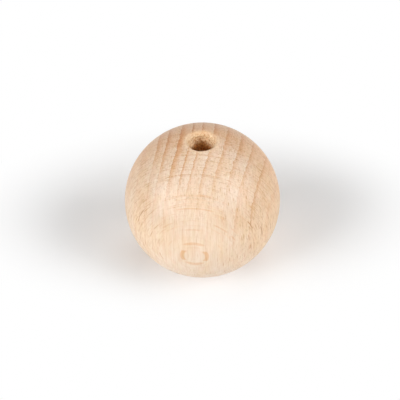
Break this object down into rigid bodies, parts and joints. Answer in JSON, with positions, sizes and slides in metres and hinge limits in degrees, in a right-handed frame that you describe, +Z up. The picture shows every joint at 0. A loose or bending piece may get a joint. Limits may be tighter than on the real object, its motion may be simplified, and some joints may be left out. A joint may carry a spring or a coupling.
{
  "type": "wooden ball",
  "caption": "Turned beech ball with one plain bore right through its centre along the grain, its mouths softly rounded, for a dowel, peg or cord.",
  "frame": {"origin": "centre of the ball, midway along the bore", "axes": "+Z up along the bore and the grain, out of the upper mouth; +X across the growth rings towards the pith; +Y along the rings, away from the face that shows the rays flat"},
  "size_m": [0.05, 0.05, 0.0488],
  "materials": {
    "beech": "bare beech, turned and fine sanded, satin, with growth rings, rays and end grain at the mouths of the bore"
  },
  "bodies": {
    "root": {"ball": "beech"}
  },
  "joints": []
}
